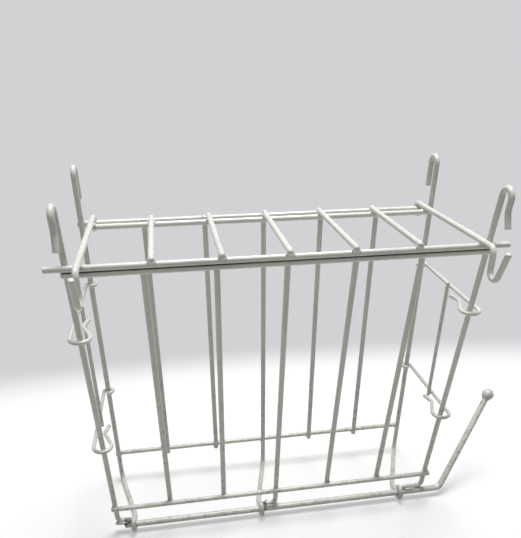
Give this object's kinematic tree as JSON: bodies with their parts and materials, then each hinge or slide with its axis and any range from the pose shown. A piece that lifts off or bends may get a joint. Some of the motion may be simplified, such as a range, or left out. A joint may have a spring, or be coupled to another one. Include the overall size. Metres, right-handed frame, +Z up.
{
  "type": "hay rack",
  "caption": "Open wire box that hangs on a cage wall and holds hay between upright bars, with a hinged lid, sprung side gates and a skewer for fruit",
  "frame": {"origin": "half-way between the two wall hooks, on the line that both hooks are bent round", "axes": "+X is the right-hand side seen from the front, +Y points at the wall, +Z is up"},
  "size_m": [0.2661, 0.109, 0.215],
  "materials": {
    "coated_wire": "ivory-white gloss coating on steel wire",
    "gate_wire": "ivory-white gloss coating on thin spring steel wire",
    "skewer_tip": "ivory-white gloss coating on a steel ball"
  },
  "bodies": {
    "back_frame": {"back_bar_1": "coated_wire", "back_bar_2": "coated_wire", "back_bar_3": "coated_wire", "back_bar_4": "coated_wire", "back_bottom_rail": "coated_wire", "back_centre_bar": "coated_wire", "back_hook_bar_left": "coated_wire", "back_hook_bar_right": "coated_wire", "back_top_rail": "coated_wire"},
    "front_frame": {"front_bar_1": "coated_wire", "front_bar_2": "coated_wire", "front_bar_3": "coated_wire", "front_bar_4": "coated_wire", "front_bottom_rail": "coated_wire", "front_centre_bar": "coated_wire", "front_hook_bar_left": "coated_wire", "front_hook_bar_right": "coated_wire", "front_top_rail": "coated_wire", "skewer_ball": "skewer_tip", "skewer_rod": "coated_wire"},
    "lid": {"lid_bar_1": "coated_wire", "lid_bar_2": "coated_wire", "lid_bar_3": "coated_wire", "lid_bar_4": "coated_wire", "lid_bar_5": "coated_wire", "lid_front_rail": "coated_wire", "lid_rail_end_left": "coated_wire", "lid_rail_end_right": "coated_wire", "lid_rear_rail": "coated_wire", "lid_side_bar_left": "coated_wire", "lid_side_bar_right": "coated_wire"},
    "left_gate": {"left_gate_cross_wire": "gate_wire", "left_gate_lower_snap": "gate_wire", "left_gate_lower_wire": "gate_wire", "left_gate_upper_snap": "gate_wire", "left_gate_upper_wire": "gate_wire"},
    "right_gate": {"right_gate_cross_wire": "gate_wire", "right_gate_lower_snap": "gate_wire", "right_gate_lower_wire": "gate_wire", "right_gate_upper_snap": "gate_wire", "right_gate_upper_wire": "gate_wire"}
  },
  "joints": [
    {"name": "lid_hinge", "type": "hinge", "parent": "back_frame", "child": "lid", "pos_m": [0, -0.00105, -0.0256], "axis": [-1, 0, 0], "range_deg": [0, 100], "deforming": ["lid_rail_end_left", "lid_rail_end_right"]},
    {"name": "front_fold", "type": "hinge", "parent": "back_frame", "child": "front_frame", "pos_m": [0, -0.05405, -0.2021], "axis": [-1, 0, 0], "range_deg": [0, 8]},
    {"name": "left_gate_swing", "type": "hinge", "parent": "back_frame", "child": "left_gate", "pos_m": [-0.1, -0.00385, -0.0601], "axis": [0, 0, -1], "range_deg": [0, 90], "deforming": ["left_gate_lower_snap", "left_gate_upper_snap"]},
    {"name": "right_gate_swing", "type": "hinge", "parent": "back_frame", "child": "right_gate", "pos_m": [0.1, -0.00385, -0.0601], "axis": [0, 0, 1], "range_deg": [0, 90], "deforming": ["right_gate_lower_snap", "right_gate_upper_snap"]}
  ]
}
